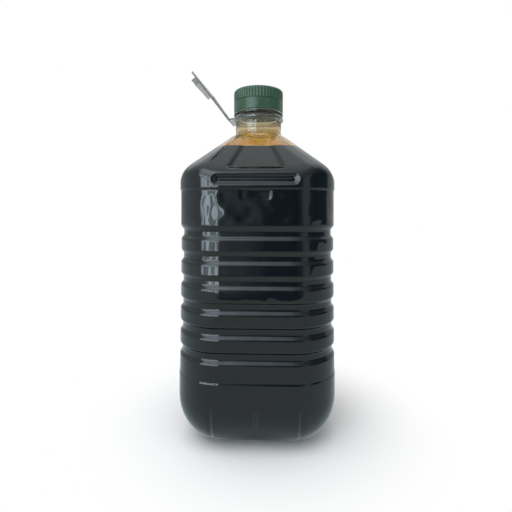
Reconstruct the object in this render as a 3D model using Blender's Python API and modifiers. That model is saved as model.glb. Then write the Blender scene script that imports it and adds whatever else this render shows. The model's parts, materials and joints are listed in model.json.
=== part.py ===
"""Five-litre jug of balsamic vinegar: a ribbed square bottle of clear plastic, a screw cap and a carrying handle.

The bottle stands on the floor at the origin, with its neck along +Z and the handle leaning towards -X.
"""

import math

import bmesh
import bpy
from mathutils import Matrix, Vector

# Body of the bottle, which is a rounded square seen from above
BASE_HALF = 0.0764
BASE_CORNER = 0.0440
LEAST_CORNER = 0.0080
BASE_TOP = 0.0640
STEP_HEIGHT = 0.0016
FOOT_HALF = 0.0405
FOOT_WIDTH = 0.0045
FOOT_RISE = 0.0420
PUSH_UP_DEPTH = 0.0055
SKIN = 0.0010

# Ribs: grooves that run round the body between the base and the label panel
LOWER_RIB_HALF = 0.0759
UPPER_RIB_HALF = 0.0746
TOP_GROOVE = 0.1978
GROOVE_PITCH = 0.0222
GROOVE_COUNT = 6
GROOVE_DEPTH = 0.00235
GROOVE_FLOOR_HALF = 0.0024
GROOVE_REACH = 0.0061

# Label panel and the bulge above it
PANEL_HALF = 0.0751
PANEL_TOP = 0.2374
BULGE_HALF = 0.0758
BULGE_BOTTOM = 0.2392

# Long finger recess on each side of the bulge
RECESS_DEPTH = 0.0024
RECESS_BOTTOM = 0.2412
RECESS_LOW = 0.2446
RECESS_HIGH = 0.2488
RECESS_TOP = 0.2522
RECESS_ANGLE = math.radians(25.0)

# Shoulder: a pyramid with rounded edges, and a sunk panel in each of its sides
NECK_BOTTOM = 0.2992
SHOULDER_SLOPE = 1.106
SHOULDER_CORNER = 0.0226
SHOULDER_BLEND = 0.0100
SUNK_DEPTH = 0.0040
SUNK_FADE = 0.0150
SUNK_BOTTOM = 0.2562
SUNK_FLOOR = 0.2597
SUNK_TOP = 0.2950
SUNK_ANGLE = math.radians(20.0)
SHOULDER_RINGS = (0.2715, 0.2840)

# Neck, its collar and the mouth
NECK_RADIUS = 0.0242
COLLAR_RADIUS = 0.0262
COLLAR_BOTTOM = 0.3188
COLLAR_TOP = 0.3224
COLLAR_CHAMFER = 0.0006
MOUTH_TOP = 0.3430

# Vinegar
LIQUID_LEVEL = 0.2818
LIQUID_GAP = 0.00035

# Cap
CAP_RADIUS = 0.0262
CAP_BOTTOM = 0.3228
CAP_TOP = 0.3464
CAP_WALL = 0.0015
CAP_GROOVE = 0.3340
CAP_GROOVE_DEPTH = 0.0005
CAP_GROOVE_HALF = 0.0005
CAP_ROUNDING = 0.0030

# Handle: a ring round the neck, a flat tab, and a loop that leans out from the tab's edge
RING_INNER = 0.0245
RING_OUTER = 0.0264
RING_BOTTOM = 0.3133
RING_TOP = 0.3170
RING_CHAMFER = 0.0008
TAB_START = 0.0040
TAB_THICKNESS = 0.0014
HINGE_DISTANCE = 0.0298
HINGE_HALF = 0.0155
HINGE_OVERLAP = 0.0006
HANDLE_TURN = math.radians(-5.4)
HANDLE_LEAN = math.radians(53.2)
LOOP_THICKNESS = 0.0018
LOOP_LENGTH = 0.0560
LOOP_WIDEST = 0.0410
LOOP_HALF = 0.0430
LOOP_TIP_HALF = 0.0385
LOOP_CORNER = 0.0060
HOLE_START = 0.0060
HOLE_CORNER = 0.0018
ARM_WIDTH = 0.0098
BAR_START = 0.0456
BAR_HALF = 0.0305
GRIP_HALF = 0.0268
GRIP_INSET = 0.0004
TIP_INSET = 0.0031
GRIP_WALL = 0.0014
GRIP_DEPTH = 0.0052
GRIP_RIBS = 7

# Angles, from the middle of a side to the corner, at which the bottle's upright edges run
SIDE_ANGLES = [math.radians(angle) for angle in (0.0, 17.0, 22.3, 27.5, 33.0, 39.0, 45.0)]


def clear_scene():
    for thing in list(bpy.data.objects):
        bpy.data.objects.remove(thing, do_unlink=True)


def new_collection(name):
    collection = bpy.data.collections.new(name)
    bpy.context.scene.collection.children.link(collection)
    return collection


def make_material(name, colour, roughness, transmission=0.0):
    material = bpy.data.materials.new(name)
    material.use_nodes = True
    shader = material.node_tree.nodes["Principled BSDF"]
    shader.inputs["Base Color"].default_value = (*colour, 1.0)
    shader.inputs["Roughness"].default_value = roughness
    shader.inputs["Transmission Weight"].default_value = transmission
    return material


def add_object(name, data, collection, material=None):
    thing = bpy.data.objects.new(name, data)
    collection.objects.link(thing)
    if material:
        data.materials.append(material)
    return thing


def add_mesh_object(name, shape, collection, material=None):
    """Turns a bmesh into a named object and frees the bmesh."""
    mesh = bpy.data.meshes.new(name)
    shape.to_mesh(mesh)
    shape.free()
    return add_object(name, mesh, collection, material)


def shade_round(thing, angle=math.radians(35)):
    thing.data.shade_smooth()
    thing.data.set_sharp_from_angle(angle=angle)


def hide_cutter(thing):
    thing.hide_render = True
    thing.display_type = "WIRE"


def add_boolean(thing, other, operation):
    modifier = thing.modifiers.new(operation.title(), "BOOLEAN")
    modifier.operation = operation
    modifier.solver = "EXACT"
    modifier.object = other


def angle_from_side(angle):
    """How far a direction lies from the middle of the nearest side, from 0 to 45 degrees."""
    return abs((angle + math.pi / 4) % (math.pi / 2) - math.pi / 4)


def rounded_square(angle, half, corner):
    """Distance from the axis to a rounded square's edge, in one direction."""
    from_side = angle_from_side(angle)
    corner = min(corner, half)
    centre = half - corner
    if math.tan(from_side) * half <= centre:
        return half / math.cos(from_side)
    reach = centre * (math.cos(from_side) + math.sin(from_side))
    return reach + math.sqrt(max(reach ** 2 - 2 * centre ** 2 + corner ** 2, 0.0))


def smooth_least(first, second, blend):
    """The smaller of two distances, with a rounded change from one to the other."""
    share = min(max(0.5 + 0.5 * (second - first) / blend, 0.0), 1.0)
    return second * (1 - share) + first * share - blend * share * (1 - share)


def shoulder_distance(angle, height):
    """Distance from the axis to the shoulder, which narrows evenly to the neck."""
    half = NECK_RADIUS + (NECK_BOTTOM - height) * SHOULDER_SLOPE
    return rounded_square(angle, half, SHOULDER_CORNER)


def skin_distance(angle, height, half):
    """Distance from the axis to the bottle's outer skin."""
    corner = max(BASE_CORNER - (BASE_HALF - half), LEAST_CORNER)
    distance = rounded_square(angle, half, corner)
    if height > BULGE_BOTTOM:
        distance = smooth_least(distance, shoulder_distance(angle, height), SHOULDER_BLEND)
    from_side = angle_from_side(angle)
    if RECESS_LOW <= height <= RECESS_HIGH and from_side < RECESS_ANGLE:
        distance -= RECESS_DEPTH
    if SUNK_FLOOR <= height <= SUNK_TOP and from_side < SUNK_ANGLE:
        fade = min((NECK_BOTTOM - height) / SUNK_FADE, 1.0)
        distance -= SUNK_DEPTH * fade * math.sqrt(1 + SHOULDER_SLOPE ** 2)
    return distance


def rib_half(height):
    """Half width of the ribs, which narrow a little towards the label panel."""
    share = (height - BASE_TOP) / (TOP_GROOVE - BASE_TOP)
    return LOWER_RIB_HALF + (UPPER_RIB_HALF - LOWER_RIB_HALF) * share


def base_rings():
    """Push-up, standing ring and rounded lower edge, as heights and half widths."""
    rings = [(PUSH_UP_DEPTH, FOOT_HALF * 0.35), (PUSH_UP_DEPTH * 0.55, FOOT_HALF * 0.75)]
    rings += [(0.0, FOOT_HALF - FOOT_WIDTH), (0.0, FOOT_HALF)]
    for step in range(1, 5):
        turn = step * math.pi / 8
        rings.append((FOOT_RISE * (1 - math.cos(turn)), FOOT_HALF + (BASE_HALF - FOOT_HALF) * math.sin(turn)))
    rings += [(BASE_TOP - STEP_HEIGHT / 2, BASE_HALF), (BASE_TOP + STEP_HEIGHT / 2, LOWER_RIB_HALF)]
    return rings


def groove_rings():
    """Flat-bottomed grooves, from the lowest up."""
    corners = [(-GROOVE_REACH, 0.0), (-GROOVE_FLOOR_HALF, GROOVE_DEPTH)]
    corners += [(GROOVE_FLOOR_HALF, GROOVE_DEPTH), (GROOVE_REACH, 0.0)]
    rings = []
    for index in reversed(range(GROOVE_COUNT)):
        middle = TOP_GROOVE - index * GROOVE_PITCH
        rings += [(middle + rise, rib_half(middle + rise) - depth) for rise, depth in corners]
    return rings


def upper_rings():
    """Top of the label panel, then the bulge and the shoulder, which skin_distance narrows."""
    heights = [BULGE_BOTTOM, RECESS_BOTTOM, RECESS_LOW, RECESS_HIGH, RECESS_TOP]
    heights += [SUNK_BOTTOM, SUNK_FLOOR, *SHOULDER_RINGS, SUNK_TOP]
    return [(PANEL_TOP, PANEL_HALF)] + [(height, BULGE_HALF) for height in heights]


def bottle_surface():
    """The bottle's outer skin as one open surface, from the push-up to the mouth."""
    quarter = [-angle for angle in reversed(SIDE_ANGLES[1:-1])] + SIDE_ANGLES
    angles = [side * math.pi / 2 + angle for side in range(4) for angle in quarter]
    rings = []
    for height, half in base_rings() + groove_rings() + upper_rings():
        rings.append([(skin_distance(angle, height, half), height) for angle in angles])
    for height in (NECK_BOTTOM, MOUTH_TOP):
        rings.append([(NECK_RADIUS, height)] * len(angles))

    surface = bmesh.new()
    loops = []
    for ring in rings:
        loop = []
        for angle, (distance, height) in zip(angles, ring):
            loop.append(surface.verts.new((distance * math.cos(angle), distance * math.sin(angle), height)))
        loops.append(loop)
    surface.faces.new(list(reversed(loops[0])))
    for lower, upper in zip(loops, loops[1:]):
        for index in range(len(angles)):
            after = (index + 1) % len(angles)
            surface.faces.new((lower[index], lower[after], upper[after], upper[index]))
    surface.normal_update()
    return surface


def turned(name, profile, steps, collection, material=None, closed=True):
    """Turns a profile of (radius, height) points, listed downwards on its outer side.

    An open profile starts and ends on the axis.
    """
    shape = bmesh.new()
    corners = [shape.verts.new((radius, 0.0, height)) for radius, height in profile]
    for first, second in zip(corners, corners[1:]):
        shape.edges.new((first, second))
    if closed:
        shape.edges.new((corners[-1], corners[0]))
    thing = add_mesh_object(name, shape, collection, material)
    screw = thing.modifiers.new("Screw", "SCREW")
    screw.steps = steps
    screw.render_steps = steps
    screw.use_merge_vertices = True
    screw.merge_threshold = 0.00001
    screw.use_smooth_shade = False
    return thing


def make_bottle(collection, cutters, material):
    bottle = add_mesh_object("bottle", bottle_surface(), collection, material)
    solidify = bottle.modifiers.new("Skin", "SOLIDIFY")
    solidify.thickness = SKIN
    solidify.offset = -1.0
    solidify.use_even_offset = True

    inside = NECK_RADIUS - SKIN / 2
    profile = [(COLLAR_RADIUS - COLLAR_CHAMFER, COLLAR_TOP), (COLLAR_RADIUS, COLLAR_TOP - COLLAR_CHAMFER)]
    profile += [(COLLAR_RADIUS, COLLAR_BOTTOM + COLLAR_CHAMFER), (COLLAR_RADIUS - COLLAR_CHAMFER, COLLAR_BOTTOM)]
    profile += [(inside, COLLAR_BOTTOM), (inside, COLLAR_TOP)]
    collar = turned("collar", profile, 40, cutters)
    hide_cutter(collar)
    add_boolean(bottle, collar, "UNION")
    shade_round(bottle)
    return bottle


def make_vinegar(collection, material):
    """The liquid fills the bottle's inside, a hair's breadth clear of the skin, up to a flat level."""
    liquid = bottle_surface()
    liquid.normal_update()
    moves = [(vert, vert.normal * (SKIN + LIQUID_GAP) * vert.calc_shell_factor()) for vert in liquid.verts]
    for vert, move in moves:
        vert.co -= move
    everything = list(liquid.verts) + list(liquid.edges) + list(liquid.faces)
    cut = bmesh.ops.bisect_plane(liquid, geom=everything, dist=0.000001, clear_outer=True,
                                 plane_co=(0, 0, LIQUID_LEVEL), plane_no=(0, 0, 1))
    rim = [part for part in cut["geom_cut"] if isinstance(part, bmesh.types.BMEdge)]
    bmesh.ops.edgeloop_fill(liquid, edges=rim)
    bmesh.ops.recalc_face_normals(liquid, faces=liquid.faces)
    vinegar = add_mesh_object("vinegar", liquid, collection, material)
    shade_round(vinegar)
    return vinegar


def make_cap(collection, material):
    """Screw cap: a plain lower band, a fine groove, a gripping band and a rounded top edge, hollow inside."""
    profile = [(0.0, CAP_TOP)]
    for step in range(4):
        turn = step * math.pi / 6
        radius = CAP_RADIUS - CAP_ROUNDING * (1 - math.sin(turn))
        profile.append((radius, CAP_TOP - CAP_ROUNDING * (1 - math.cos(turn))))
    groove_radius = CAP_RADIUS - CAP_GROOVE_DEPTH
    profile += [(CAP_RADIUS, CAP_GROOVE + 2 * CAP_GROOVE_HALF), (groove_radius, CAP_GROOVE + CAP_GROOVE_HALF)]
    profile += [(groove_radius, CAP_GROOVE - CAP_GROOVE_HALF), (CAP_RADIUS, CAP_GROOVE - 2 * CAP_GROOVE_HALF)]
    profile += [(CAP_RADIUS, CAP_BOTTOM), (CAP_RADIUS - CAP_WALL, CAP_BOTTOM)]
    profile += [(CAP_RADIUS - CAP_WALL, CAP_TOP - CAP_WALL), (0.0, CAP_TOP - CAP_WALL)]
    cap = turned("cap", profile, 48, collection, material, closed=False)
    shade_round(cap)
    return cap


def flat_outline(name, loops, thickness, collection):
    """A flat plate from closed outlines in its own XY plane; the first is the edge and the rest are holes."""
    curve = bpy.data.curves.new(name, "CURVE")
    curve.dimensions = "2D"
    curve.fill_mode = "BOTH"
    curve.extrude = thickness / 2
    for loop in loops:
        spline = curve.splines.new("POLY")
        spline.points.add(len(loop) - 1)
        spline.use_cyclic_u = True
        for point, (x, y) in zip(spline.points, loop):
            point.co = (x, y, 0.0, 1.0)
    return add_object(name, curve, collection)


def mesh_from_curve(thing, collection):
    """Replaces a curve object by a closed mesh object of the same name and place."""
    name = thing.name
    place = thing.matrix_world.copy()
    depsgraph = bpy.context.evaluated_depsgraph_get()
    mesh = bpy.data.meshes.new_from_object(thing.evaluated_get(depsgraph))
    bpy.data.objects.remove(thing, do_unlink=True)
    shape = bmesh.new()
    shape.from_mesh(mesh)
    bpy.data.meshes.remove(mesh)
    bmesh.ops.remove_doubles(shape, verts=shape.verts, dist=0.00001)
    bmesh.ops.recalc_face_normals(shape, faces=shape.faces)
    solid = add_mesh_object(name, shape, collection)
    solid.matrix_world = place
    return solid


def rounded_corners(corners, radius, steps, sharp=()):
    """Rounds the corners of a polygon with quadratic curves, except those numbered in sharp."""
    loop = []
    for index, corner in enumerate(corners):
        if index in sharp:
            loop.append(corner)
            continue
        here = Vector(corner)
        before = Vector(corners[index - 1])
        after = Vector(corners[(index + 1) % len(corners)])
        start = here + (before - here).normalized() * radius
        end = here + (after - here).normalized() * radius
        for step in range(steps + 1):
            share = step / steps
            point = start.lerp(here, share).lerp(here.lerp(end, share), share)
            loop.append((point.x, point.y))
    return loop


def loop_frame():
    """Places the loop's plane: its X runs up the lean from the hinge, its Y across the handle."""
    outward = Vector((-math.cos(HANDLE_TURN), -math.sin(HANDLE_TURN), 0.0))
    across = Vector((-outward.y, outward.x, 0.0))
    up_lean = outward * math.cos(HANDLE_LEAN) + Vector((0, 0, 1)) * math.sin(HANDLE_LEAN)
    facing = up_lean.cross(across)
    hinge = outward * HINGE_DISTANCE + Vector((0, 0, RING_BOTTOM + TAB_THICKNESS / 2))
    frame = Matrix((up_lean, across, facing)).transposed().to_4x4()
    frame.translation = hinge
    return frame


def make_tab(cutters):
    """Flat tab that joins the ring to the hinge, cut round the neck."""
    side = RING_OUTER - HINGE_OVERLAP
    edge = [(TAB_START, side), (HINGE_DISTANCE + HINGE_OVERLAP, HINGE_HALF)]
    edge += [(HINGE_DISTANCE + HINGE_OVERLAP, -HINGE_HALF), (TAB_START, -side)]
    bore = RING_INNER + HINGE_OVERLAP
    half_turn = math.acos(TAB_START / bore)
    for step in range(23):
        turn = half_turn * (step / 11 - 1)
        edge.append((bore * math.cos(turn), bore * math.sin(turn)))
    tab = flat_outline("handle_tab", [edge], TAB_THICKNESS, cutters)
    turn = Matrix.Rotation(math.pi + HANDLE_TURN, 4, "Z")
    tab.matrix_world = Matrix.Translation((0, 0, RING_BOTTOM + TAB_THICKNESS / 2)) @ turn
    bpy.context.view_layer.update()
    return mesh_from_curve(tab, cutters)


def make_loop(cutters):
    """Leaning loop with a wide finger hole, narrow at the hinge and wide at the grip."""
    edge = [(-HINGE_OVERLAP, -HINGE_HALF), (LOOP_WIDEST, -LOOP_HALF), (LOOP_LENGTH, -LOOP_TIP_HALF)]
    edge += [(LOOP_LENGTH, LOOP_TIP_HALF), (LOOP_WIDEST, LOOP_HALF), (-HINGE_OVERLAP, HINGE_HALF)]
    start_half = HINGE_HALF + (LOOP_HALF - HINGE_HALF) * HOLE_START / LOOP_WIDEST - ARM_WIDTH
    hole = [(HOLE_START, -start_half), (LOOP_WIDEST, -LOOP_HALF + ARM_WIDTH), (BAR_START, -BAR_HALF)]
    hole += [(BAR_START, BAR_HALF), (LOOP_WIDEST, LOOP_HALF - ARM_WIDTH), (HOLE_START, start_half)]
    loops = [rounded_corners(edge, LOOP_CORNER, 4, sharp=(0, 5)), rounded_corners(hole, HOLE_CORNER, 3)]
    plate = flat_outline("handle_loop", loops, LOOP_THICKNESS, cutters)
    plate.matrix_world = loop_frame()
    bpy.context.view_layer.update()
    return mesh_from_curve(plate, cutters)


def add_box(shape, low, high):
    size = Vector(high) - Vector(low)
    middle = (Vector(high) + Vector(low)) / 2
    bmesh.ops.create_cube(shape, size=1.0, matrix=Matrix.Translation(middle) @ Matrix.Diagonal(size).to_4x4())


def make_grip(cutters):
    """Shallow tray under the grip bar: two long walls, two end walls and cross ribs between them."""
    floor = -LOOP_THICKNESS / 2
    low = BAR_START + GRIP_INSET
    tip = LOOP_LENGTH - TIP_INSET
    walls = [(low, -GRIP_HALF, low + GRIP_WALL, GRIP_HALF, GRIP_DEPTH)]
    walls += [(tip - GRIP_WALL, -GRIP_HALF, tip, GRIP_HALF, GRIP_DEPTH)]
    for index in range(GRIP_RIBS + 2):
        middle = -GRIP_HALF + GRIP_WALL / 2 + index * (2 * GRIP_HALF - GRIP_WALL) / (GRIP_RIBS + 1)
        is_end = index in (0, GRIP_RIBS + 1)
        depth = GRIP_DEPTH - (GRIP_INSET if is_end else 2 * GRIP_INSET)
        walls.append((low + GRIP_INSET, middle - GRIP_WALL / 2, tip - GRIP_INSET, middle + GRIP_WALL / 2, depth))
    pieces = []
    for index, (x_low, y_low, x_high, y_high, depth) in enumerate(walls):
        shape = bmesh.new()
        add_box(shape, (x_low, y_low, floor - depth), (x_high, y_high, GRIP_INSET))
        wall = add_mesh_object("grip_wall_%d" % index, shape, cutters)
        wall.matrix_world = loop_frame()
        pieces.append(wall)
    return pieces


def make_handle(collection, cutters, material):
    """Moulded in one piece: ring, tab, loop and grip, joined by one union."""
    profile = [(RING_OUTER - RING_CHAMFER, RING_TOP), (RING_OUTER, RING_TOP - RING_CHAMFER)]
    profile += [(RING_OUTER, RING_BOTTOM + RING_CHAMFER), (RING_OUTER - RING_CHAMFER, RING_BOTTOM)]
    profile += [(RING_INNER, RING_BOTTOM), (RING_INNER, RING_TOP)]
    handle = turned("handle", profile, 40, collection, material)
    joined = bpy.data.collections.new("handle_pieces")
    cutters.children.link(joined)
    for piece in [make_tab(cutters), make_loop(cutters)] + make_grip(cutters):
        cutters.objects.unlink(piece)
        joined.objects.link(piece)
        hide_cutter(piece)
    union = handle.modifiers.new("Union", "BOOLEAN")
    union.operation = "UNION"
    union.solver = "EXACT"
    union.operand_type = "COLLECTION"
    union.collection = joined
    return handle


def build():
    clear_scene()
    jug = new_collection("balsamic_vinegar_jug")
    cutters = new_collection("cutters")
    clear_plastic = make_material("clear_plastic", (0.80, 0.82, 0.80), 0.05, 0.9)
    dark_vinegar = make_material("dark_vinegar", (0.010, 0.006, 0.004), 0.10)
    green_plastic = make_material("green_plastic", (0.030, 0.105, 0.055), 0.32)
    milky_plastic = make_material("milky_plastic", (0.62, 0.63, 0.61), 0.35, 0.3)
    make_bottle(jug, cutters, clear_plastic)
    make_vinegar(jug, dark_vinegar)
    make_cap(jug, green_plastic)
    make_handle(jug, cutters, milky_plastic)


build()
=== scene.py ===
"""Looks of the balsamic vinegar jug.

A clear ribbed bottle stained amber above dark vinegar, a green screw cap and a milky carrying handle. The
forms repeat the solids and add what is too fine for them: the cap's ribs, upright grooves in the base, a
sunk mark on the label panel and drops above the vinegar. Lengths are in metres.
"""

import json
import math
import random

import bmesh
import bpy
import numpy as np
from mathutils import Matrix, Vector

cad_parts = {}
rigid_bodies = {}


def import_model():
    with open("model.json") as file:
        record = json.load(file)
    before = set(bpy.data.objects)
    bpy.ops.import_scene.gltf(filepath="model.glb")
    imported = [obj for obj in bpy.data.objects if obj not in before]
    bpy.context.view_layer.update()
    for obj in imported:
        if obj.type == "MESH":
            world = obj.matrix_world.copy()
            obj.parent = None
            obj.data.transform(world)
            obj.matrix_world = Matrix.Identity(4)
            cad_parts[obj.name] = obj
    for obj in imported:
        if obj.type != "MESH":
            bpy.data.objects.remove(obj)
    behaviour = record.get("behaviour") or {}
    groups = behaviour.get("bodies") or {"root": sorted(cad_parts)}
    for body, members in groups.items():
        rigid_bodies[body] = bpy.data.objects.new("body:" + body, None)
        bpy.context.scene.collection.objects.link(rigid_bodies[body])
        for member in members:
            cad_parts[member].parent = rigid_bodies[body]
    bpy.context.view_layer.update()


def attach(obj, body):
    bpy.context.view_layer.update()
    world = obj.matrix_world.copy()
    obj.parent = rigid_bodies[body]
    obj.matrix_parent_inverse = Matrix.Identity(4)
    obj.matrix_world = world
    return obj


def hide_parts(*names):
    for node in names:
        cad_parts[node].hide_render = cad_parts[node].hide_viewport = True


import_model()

# Photograph's frame and the place that it was taken from
PICTURE_SIZE = 512
SENSOR = 36.0
FOCAL_PIXELS = 399.9
HORIZON_ROW = 210.0
AXIS_COLUMN = 258.34
CAMERA_DISTANCE = 0.430
CAMERA_HEIGHT = 0.2192
CAMERA_TURN = math.radians(1.88)
CAMERA_ROLL = math.radians(0.1)

# Body of the bottle, as in the solids
BASE_HALF = 0.0764
BASE_CORNER = 0.0440
BASE_TOP = 0.0640
STEP_SPAN = 0.0012
BODY_CORNER_LEAST = 0.0080
FOOT_HALF = 0.0405
FOOT_WIDTH = 0.0045
FOOT_RISE = 0.0420
PUSH_UP_DEPTH = 0.0055
WALL = 0.0010
LIQUID_IN_WALL = 0.0003

# Grooves between the ribs
LOWER_RIB_HALF = 0.0759
UPPER_RIB_HALF = 0.0746
TOP_GROOVE = 0.1978
GROOVE_PITCH = 0.0222
GROOVE_COUNT = 6
GROOVE_DEPTH = 0.00235
GROOVE_FLOOR_HALF = 0.0024
GROOVE_REACH = 0.0061

# Label panel, bulge and finger recess
PANEL_HALF = 0.0751
PANEL_BOTTOM = 0.2045
PANEL_TOP = 0.2374
PANEL_STEP = (-0.0012, 0.0004)
BULGE_HALF = 0.0758
BULGE_BOTTOM = 0.2392
MARK_DEPTH = 0.0003
MARK_HALF_WIDTH = 0.0150
MARK_BOTTOM = 0.2272
MARK_CORNER = 0.0040
MARK_EDGE = 0.0025
RECESS_DEPTH = 0.0026
RECESS_MIDDLE = 0.2466
RECESS_FLOOR_HALF = 0.0018
RECESS_HALF_HEIGHT = 0.0056
RECESS_HALF_WIDTH = 0.0402

# Shoulder and its sunk panels
NECK_BOTTOM = 0.2992
SHOULDER_SLOPE = 1.106
SHOULDER_CORNER = 0.0226
SHOULDER_BLEND = 0.0100
SUNK_DEPTH = 0.0026
SUNK_FADE = 0.0040
SUNK_LEAN = -0.50
SUNK_BOTTOM = 0.2562
SUNK_EDGE_ANGLE = math.radians(22.3)
SUNK_BEVEL = 0.0052
SUNK_CORNER_CUT = 0.0050
SUNK_LOWER_STEEPNESS = 1.8

# Neck, collar and mouth
NECK_RADIUS = 0.0242
NECK_BORE = 0.0222
COLLAR_RADIUS = 0.0262
COLLAR_BOTTOM = 0.3188
COLLAR_TOP = 0.3224
MOUTH_TOP = 0.3430
LIQUID_LEVEL = 0.2818

# Drops inside the shoulder, above the level
DROP_SEED = 7
DROP_COUNT = 56
DROP_RADIUS = 0.0007
DROP_SMALLEST = 0.6
DROP_FROM_SKIN = 0.0016
DROPS_LOW = 0.2918
DROPS_HIGH = 0.2980

# Shallow upright grooves in the base
PETAL_DEPTH = 0.0017
PETAL_HALF_WIDTH = 0.0026
PETAL_TOP = 0.0420
PETAL_MIDDLES = (-0.0415, 0.0, 0.0415)

# Cap
CAP_RADIUS = 0.0262
CAP_BOTTOM = 0.3225
CAP_TOP = 0.3464
CAP_WALL = 0.0015
CAP_GROOVE = 0.3340
CAP_KNURLS = 48
CAP_KNURL_DEPTH = 0.00060
CAP_STEPS = CAP_KNURLS * 6
CAP_GROOVE_DEPTH = 0.0007
CAP_EDGE = 0.0032
CAP_EDGE_STEPS = 8

# Handle
RING_INNER = 0.0245
RING_OUTER = 0.0264
RING_BOTTOM = 0.3133
RING_TOP = 0.3170
TAB_THICKNESS = 0.0014
HINGE_DISTANCE = 0.0298
HINGE_HALF = 0.0155
HANDLE_TURN = math.radians(-5.4)
HANDLE_LEAN = math.radians(53.2)
LOOP_THICKNESS = 0.0018
LOOP_LENGTH = 0.0560
LOOP_HALF = 0.0430
LOOP_TIP_HALF = 0.0385
ARM_WIDTH = 0.0085
BAR_START = 0.0456
BAR_HALF = 0.0305
GRIP_HALF = 0.0268
TIP_INSET = 0.0031
LOOP_WIDEST = 0.0410
GRIP_WALL = 0.0011
GRIP_DEPTH = 0.0052
GRIP_RIBS = 7
OVERLAP = 0.0003
LOOP_START = -0.0006
HOLE_START = 0.0060
ARM_SLANT = 1.15
LOOP_CORNER = 0.006
HOLE_CORNER = 0.0018
TAB_END = 0.0006
TAB_START = 0.004
TAB_STEPS = 32
TAB_HALF_TURN = math.radians(80.6)

# Tints of the light: white walls, a cool window and a blue dim room
NEUTRAL = (0.94, 1.0, 1.02)
COOL = (0.82, 0.97, 1.08)
BLUE = (0.52, 0.86, 1.20)

# Surroundings at three heights, as turn in degrees to the left of the front, brightness and tint
WALL_STOPS = (
    (-180, 0.75, NEUTRAL), (-140, 0.62, NEUTRAL), (-112, 0.54, NEUTRAL), (-104, 0.18, BLUE),
    (-62, 0.19, BLUE),
    (-50, 0.28, BLUE), (-46, 0.66, COOL), (-34, 0.60, COOL), (-28, 0.28, COOL), (-12, 0.17, BLUE),
    (0, 0.22, BLUE), (8.5, 0.62, COOL), (10, 3.9, COOL), (38, 4.6, COOL),
    (54, 3.4, COOL), (58, 0.72, COOL), (95, 0.68, COOL), (125, 0.55, NEUTRAL), (150, 0.46, NEUTRAL),
    (180, 0.75, NEUTRAL))
MIDDLE_STOPS = (
    (-180, 0.88, NEUTRAL), (-150, 0.95, NEUTRAL), (-120, 0.66, NEUTRAL), (-104, 0.30, COOL),
    (-72, 0.24, COOL), (-52, 0.38, COOL), (-25, 0.55, COOL), (-8, 0.80, COOL), (6, 1.55, COOL),
    (22, 2.5, COOL), (54, 2.3, COOL), (62, 0.70, COOL), (105, 0.72, NEUTRAL), (135, 1.2, NEUTRAL),
    (158, 1.2, NEUTRAL), (180, 0.88, NEUTRAL))
UPPER_STOPS = (
    (-180, 0.95, NEUTRAL), (-145, 1.4, NEUTRAL), (-115, 1.0, NEUTRAL), (-80, 0.48, COOL),
    (-40, 0.66, COOL), (-12, 0.96, COOL), (6, 1.7, COOL), (22, 3.3, COOL), (52, 2.9, COOL),
    (72, 1.1, NEUTRAL), (105, 0.85, NEUTRAL), (145, 1.05, NEUTRAL), (180, 0.95, NEUTRAL))

# Heights, in degrees above the level, at which one part of the surroundings gives way to the next
GROUND_FADE = (-9, -12)
MIDDLE_FADE = (20, 34)
UPPER_FADE = (45, 57)
CEILING_FADE = (62, 72)

# Window in those walls, from its right edge to its left one, and the folds of its thin curtain
WINDOW_RIGHT = (8, 9)
WINDOW_LEFT = (56, 52)
CURTAIN_SCALE = 2.6
CURTAIN_WAVER = 9.0
CURTAIN_DETAIL = 1.0
CURTAIN_DETAIL_SCALE = 1.6
CURTAIN_STOPS = ((0.0, (0.45, 0.46, 0.47)), (0.45, (0.62, 0.63, 0.64)), (0.80, (1.30, 1.30, 1.30)))

# Even light: overhead, through clear plastic, under the level, and on dull surfaces
CEILING = (1.00, 1.10, 1.12)
BEHIND_CLEAR = (0.72, 0.70, 0.66)
BELOW = (0.12, 0.19, 0.25)
SOFT_LIGHT = (0.62, 0.62, 0.62)
WHITE = (1.0, 1.0, 1.0)

# Soft light over the jug
LIGHT_PLACE = (-0.5, -0.3, 1.8)
LIGHT_SIZE = 2.2
LIGHT_POWER = 22

# Skin: its amber stain from the liquid level to the collar, with painted shade in a dark arc just above the
# foot of the neck and painted shade on the collar under the cap, its colour over the vinegar, and its
# slight swell
STAIN_AND_SHADE_STOPS = (
    (0.00, (0.87, 0.61, 0.24)), (0.41, (0.85, 0.62, 0.26)), (0.43, (0.93, 0.80, 0.54)),
    # painted shade: the dark arc just above the foot of the neck
    (0.455, (0.56, 0.47, 0.32)), (0.48, (0.56, 0.47, 0.32)), (0.51, (0.90, 0.76, 0.50)),
    # from the stop at .90 up: painted shade on the collar under the cap
    (0.60, (0.95, 0.80, 0.52)), (0.86, (0.97, 0.84, 0.61)), (0.90, (0.58, 0.62, 0.54)),
    (1.00, (0.58, 0.62, 0.54)))
WET_SKIN = (0.0004, 0.0004, 0.0004)
SWELL_SCALE = 46.0
SWELL_HEIGHT = 0.0014
SWELL_ELSEWHERE = 0.25
NECK_HAZE = 0.09
HAZE_FADE = 0.003
HAZE_TINT = (0.80, 0.72, 0.50)
HAZE_ROUGHNESS = 0.4

# Vinegar, and the brown of its thin edge at the level
VINEGAR = (0.006, 0.005, 0.004)
VINEGAR_EDGE = (0.16, 0.07, 0.025)
VINEGAR_EDGE_DEPTH = 0.0012
VINEGAR_ROUGHNESS = 0.3

# Clear plastic of the bottle and of the handle, and the ends of the swell on the panel and the shoulder
BOTTLE_ROUGHNESS = 0.02
BOTTLE_IOR = 1.57
HANDLE_ROUGHNESS = 0.12
HANDLE_IOR = 1.50
SWELL_FADE = 0.006
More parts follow.
